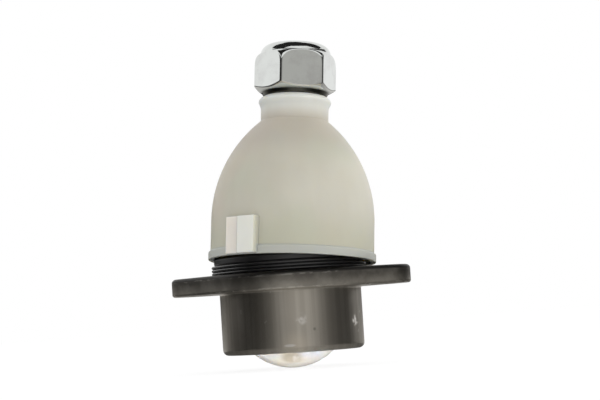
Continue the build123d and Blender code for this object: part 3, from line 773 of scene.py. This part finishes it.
THREAD_BASE, STUD_END, PITCH = 54.99, 77.49, 1.5
BALL, BALL_FLAT, BALL_FLAT_RADIUS, BALL_FLAT_INNER, BALL_TOP, STUD_NECK = 15, -14, 5.385, 5.0, 12.93, 7.6
RELIEF = 6.0
STUD_BODY = [       # radius, height: neck, shank, taper, thread relief
    (STUD_NECK, 15), (STUD_NECK, 24.5), (8.6, 27.5), (8.6, 33.5), (7.626, 52.99), (RELIEF, 53.49),
    (RELIEF, THREAD_BASE), (6.6, THREAD_BASE + 0.1)]
END_FACE = [(6.0, 0), (4.6, 0), (4.0, 0), (3.6, -0.35)]      # radius, height from the stud's end
THREAD, THREAD_ROOT, THREAD_DEPTH, THREAD_FADE = 7.0, 6.08, 0.92, 1.2
CREST_GAIN, ROOT_CUT = 1.25, 0.12           # they flatten the wave's crests and roots
THREAD_START, THREAD_ROW = 0.2, 0.1         # first row above the thread's base, distance between rows
KEY, KEY_POWER, KEY_CHAMFER, KEY_ROWS = 3, 80, 1.1, 6
KEY_CORNER, KEY_TOP, KEY_DEPTH, KEY_MOUTH = 3.46, 0.6, 5, 3.5
BALL_ROWS, STUD_COLUMNS = 64, 144


def ball_stud():
    """Stud: ball, neck, taper and a rolled thread, with a hexagon socket in its end.

    On the thread the radius is the root plus the depth times a clipped triangle wave of height over
    pitch less the turn, fading in at its base.
    """
    sweep = np.linspace(np.arctan2(BALL_FLAT, BALL_FLAT_RADIUS), np.arctan2(BALL_TOP, STUD_NECK), BALL_ROWS)
    ball = np.stack([BALL * np.cos(sweep), BALL * np.sin(sweep)], -1)
    body = rounded(STUD_BODY, radius=0.6)
    z = np.arange(THREAD_BASE + THREAD_START, STUD_END, THREAD_ROW)
    thread = np.stack([np.minimum(THREAD, RELIEF + STUD_END - z), z], -1)
    end = np.array(END_FACE) + (0, STUD_END)
    socket = np.stack([np.full(KEY_ROWS, KEY_CORNER),
                       np.linspace(STUD_END - KEY_TOP, STUD_END - KEY_DEPTH, KEY_ROWS)], -1)
    flat = [(0, BALL_FLAT), (BALL_FLAT_INNER, BALL_FLAT)]
    rows = np.vstack([flat, ball, body, thread, end, socket, [(0, STUD_END - KEY_DEPTH)]])
    angle = np.linspace(0, 2 * pi, STUD_COLUMNS, endpoint=False)
    r = np.repeat(rows[:, :1], len(angle), 1)
    first = len(flat) + len(ball) + len(body)
    cut = slice(first, first + len(thread))
    saw = np.abs(((z[:, None] / PITCH - angle / (2 * pi)) % 1) * 2 - 1)
    wave = np.clip(saw * CREST_GAIN - ROOT_CUT, 0, 1)
    fade = np.clip((z[:, None] - THREAD_BASE) / THREAD_FADE, 0, 1)
    r[cut] = np.minimum(r[cut], THREAD_ROOT + THREAD_DEPTH * wave * fade)
    towards = np.maximum(np.cos(angle[:, None] - HEX_FLATS), 0)
    hexagon = KEY / (towards ** KEY_POWER).sum(1) ** (1 / KEY_POWER)
    inside = slice(len(rows) - KEY_ROWS - 2, len(rows) - 1)          # the socket and the row at its mouth
    mouth = np.where(rows[inside, :1] > KEY_MOUTH, KEY_CHAMFER, 1)
    r[inside] = np.minimum(r[inside], hexagon * mouth)
    ring = np.stack([r * np.cos(angle), r * np.sin(angle), rows[:, 1:] + 0 * angle], -1)
    return skin("stud_body", ring @ STUD.T, "stud_steel", poles=True, sharp=45)


stud = ball_stud()
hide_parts("ball_stud")
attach(stud, "stud")

# ---------------------------------------------------------------- floor, lights and camera

CAMERA_TURN, CAMERA_ROLL = radians(14), radians(3.63)
CAMERA_REACH, CAMERA_HEIGHT = 510.0, -3.66
FOCAL_PIXELS = 1714.0
AIM = np.array([-7.8, -120.0, -FOCAL_PIXELS])     # pixels right and up of the middle, where the axis shows
SENSOR, VIEW_WIDTH, NEAREST, FARTHEST = 36, 600, 0.01, 20


def place_camera():
    """Camera level with the barrel, rolled a little, turned so that the joint's axis shows at AIM."""
    turn, roll = CAMERA_TURN, CAMERA_ROLL
    ahead = np.array([-sin(turn), cos(turn), 0])
    side = np.array([cos(turn), sin(turn), 0])
    above = np.array([0, 0, 1.0])
    rolled = np.stack([cos(roll) * side - sin(roll) * above,
                       sin(roll) * side + cos(roll) * above, -ahead], 1)
    swing = Vector(AIM).rotation_difference(Vector((0, 0, -1))).to_matrix()
    data = bpy.data.cameras.new("camera")
    data.sensor_width = SENSOR
    data.lens = FOCAL_PIXELS * SENSOR / VIEW_WIDTH
    data.clip_start, data.clip_end = NEAREST, FARTHEST
    camera = bpy.data.objects.new("camera", data)
    bpy.context.scene.collection.objects.link(camera)
    camera.matrix_world = (
        Matrix.Translation((CAMERA_REACH * sin(turn) / MM, -CAMERA_REACH * cos(turn) / MM,
                            CAMERA_HEIGHT / MM))
        @ (Matrix(rolled.tolist()) @ swing).to_4x4())
    bpy.context.scene.camera = camera


def around_camera(azimuth, elevation, reach):
    """Point seen from the joint at that angle right of the camera and above level, reach metres away."""
    turn = CAMERA_TURN + azimuth
    level = np.cos(elevation)
    return np.stack([level * np.sin(turn), -level * np.cos(turn), np.sin(elevation)], -1) * reach


CARD_REACH, CARD_HEIGHT, FLOOR_HEIGHT = 1.3, -0.0176, -0.0179
CARD_COLUMNS, WALL_ROWS, FLOOR_ROWS = 145, 17, 9
WHITE, CARD_TONE = (1, 1, 1, 1), (1, 0.985, 0.955, 1)
FLOOR_SIZE, FLOOR_GREY, FLOOR_GLOW, FLOOR_SEEN = 3.0, 0.9, 1.09, 0.8


def wall_card(name, low, high, shades):
    """Band of a sphere round the joint; its lower edge and its shade run through the angles given."""
    az, up = np.meshgrid(np.linspace(min(shades), max(shades), CARD_COLUMNS), np.linspace(0, 1, WALL_ROWS))
    shade = np.interp(az, list(shades), list(shades.values()))
    base = np.interp(az, list(low), list(low.values()))
    card_sheet(name, around_camera(np.radians(az), np.radians(base + (high - base) * up), CARD_REACH),
               shade)


def floor_card(name, reaches, shades):
    """Flat ring just above the floor; its shade runs through the angles given."""
    az, reach = np.meshgrid(np.linspace(min(shades), max(shades), CARD_COLUMNS),
                            np.linspace(*reaches, FLOOR_ROWS))
    shade = np.interp(az, list(shades), list(shades.values()))
    card_sheet(name, around_camera(np.radians(az), 0 * az, reach[..., None]) + (0, 0, CARD_HEIGHT), shade)


def card_sheet(name, points, shade):
    """Grid of points as a sheet that only reflections see, lit to the shade given at each point."""
    index = np.arange(shade.size).reshape(shade.shape)
    faces = np.stack([index[:-1, :-1], index[:-1, 1:], index[1:, 1:], index[1:, :-1]], -1).reshape(-1, 4)
    mesh = bpy.data.meshes.new(name)
    mesh.from_pydata(points.reshape(-1, 3).tolist(), [], faces.tolist())
    mesh.attributes.new("shade", "FLOAT", "POINT").data.foreach_set("value", shade.ravel())
    finish = Finish(name)
    glow = finish.add("ShaderNodeAttribute", {"attribute_name": "shade"}, None, "Fac")
    finish.end(finish.add("ShaderNodeEmission", None, {"Color": CARD_TONE, "Strength": glow}))
    mesh.materials.append(finish.material)
    card = bpy.data.objects.new(name, mesh)
    bpy.context.scene.collection.objects.link(card)
    card.visible_camera = card.visible_diffuse = card.visible_shadow = card.visible_transmission = False
    card.visible_volume_scatter = False


def soft_lamp(name, azimuth, elevation, reach, size, watts, aim, spread):
    """Soft box aimed at a height on the joint's axis, left out of reflections. Its size is width, height."""
    data = bpy.data.lights.new(name, "AREA")
    data.shape, data.size, data.size_y = "RECTANGLE", *size
    data.energy, data.spread = watts, radians(spread)
    lamp = bpy.data.objects.new(name, data)
    bpy.context.scene.collection.objects.link(lamp)
    offset = Vector(around_camera(radians(azimuth), radians(elevation), reach))
    lamp.location = offset + Vector((0, 0, aim))
    lamp.rotation_euler = offset.to_track_quat("Z", "Y").to_euler()
    lamp.visible_glossy = False


def seen_directly(finish):
    """1 for rays from the camera, from reflections and through clear pieces, else 0."""
    seen = finish.add("ShaderNodeLightPath", out="Is Camera Ray")
    for kind in ("Is Glossy Ray", "Is Transmission Ray"):
        seen = seen.larger(finish.add("ShaderNodeLightPath", out=kind))
    return seen


def white_floor():
    """Large pale floor just below the dome, white when seen but for the joint's faint shadow."""
    mesh = bpy.data.meshes.new("floor")
    s, low = FLOOR_SIZE, FLOOR_HEIGHT
    mesh.from_pydata([(-s, -s, low), (s, -s, low), (s, s, low), (-s, s, low)], [], [(0, 1, 2, 3)])
    finish = Finish("floor_white")
    paper = finish.add("ShaderNodeBsdfDiffuse", None, {"Color": (FLOOR_GREY,) * 3 + (1,)})
    glow = finish.add("ShaderNodeEmission", None, {"Color": WHITE, "Strength": FLOOR_GLOW})
    seen = FLOOR_SEEN * seen_directly(finish)
    finish.end(finish.add("ShaderNodeMixShader", None, {0: seen, 1: paper, 2: glow}))
    mesh.materials.append(finish.material)
    floor = bpy.data.objects.new("floor", mesh)
    bpy.context.scene.collection.objects.link(floor)


def white_world(level):
    """White surroundings, at full strength when seen and at a lower level as light."""
    finish = Finish("white_surroundings", "worlds")
    strength = level + (1 - level) * seen_directly(finish)
    sky = finish.add("ShaderNodeBackground", None, {"Color": WHITE, "Strength": strength})
    bpy.context.scene.world = finish.end(sky, "ShaderNodeOutputWorld")


WORLD_LEVEL = 0.8
LAMPS = (           # name, degrees right of the camera, degrees up, metres away, size, watts, aim, spread
    ("key_right", 48, 22, 0.9, (0.7, 0.7), 1.6, 0.03, 180),
    ("front_low", 8, 2, 0.9, (0.5, 0.5), 0.8, 0.03, 180),
    ("fill_right", 100, 3, 0.7, (0.3, 0.3), 0.85, 0.02, 180),
    ("dome_left", -28, 0.3, 0.3, (0.1, 0.006), 0.006, -0.0145, 10),
    ("dome_right", 32, 0.3, 0.3, (0.1, 0.006), 0.006, -0.0145, 10))

# Shades of the cards by degrees right of the camera: level with the barrel, above, on the floor far off and
# close by, and to the left; then the ceiling's lower edge by the same degrees.
LEVEL = {-180: 0.08, -115: 0.035, -85: 0.02, -58: 0.03, -36: 0.085, -15: 0.22, 5: 0.42, 25: 0.235,
         47: 0.145, 70: 0.065, 97: 0.035, 125: 0.09, 150: 0.17, 180: 0.10}
ABOVE = {-92: 0.02, -58: 0.02, -36: 0.08, -12: 0.22, 4: 0.52, 38: 0.52, 60: 0.10, 97: 0.04, 120: 0.08}
BELOW = {-180: 0.60, -135: 0.50, -112: 0.10, -85: 0.03, -58: 0.05, -36: 0.12, -15: 0.50, 25: 0.60,
         47: 0.23, 70: 0.08, 100: 0.08, 125: 0.30, 150: 0.55, 180: 0.60}
CLOSE = {-180: 0.14, -85: 0.10, -58: 0.11, -36: 0.16, -15: 0.30, 5: 0.42, 25: 0.34, 47: 0.22, 97: 0.14,
         180: 0.14}
LEFT = {-180: 0.05, -92: 0.02}
OVERHEAD = {-180: 0.02, 180: 0.02}
CEILING_EDGE = {-110: 72, -90: 34, -60: 27, -40: 29, -15: 47, 50: 47, 72: 29, 90: 27, 110: 34, 130: 72}
GROUND, HORIZON, LEFT_TOP, FRONT_TOP, ZENITH = {0: -60}, {0: 4}, 9, 27, 90     # card edges in degrees up
NEAR_FLOOR, FAR_FLOOR = (0.0, 0.05), (0.05, 1.3)                               # metres from the axis

place_camera()
white_floor()
white_world(WORLD_LEVEL)
for lamp in LAMPS:
    soft_lamp(*lamp)
wall_card("wall_low", GROUND, HORIZON[0], LEVEL)
wall_card("wall_front", HORIZON, FRONT_TOP, ABOVE)
wall_card("wall_left", HORIZON, LEFT_TOP, LEFT)
wall_card("ceiling", CEILING_EDGE, ZENITH, OVERHEAD)
floor_card("floor_near", NEAR_FLOOR, CLOSE)
floor_card("floor_far", FAR_FLOOR, BELOW)

bpy.context.scene.view_settings.view_transform = "Standard"
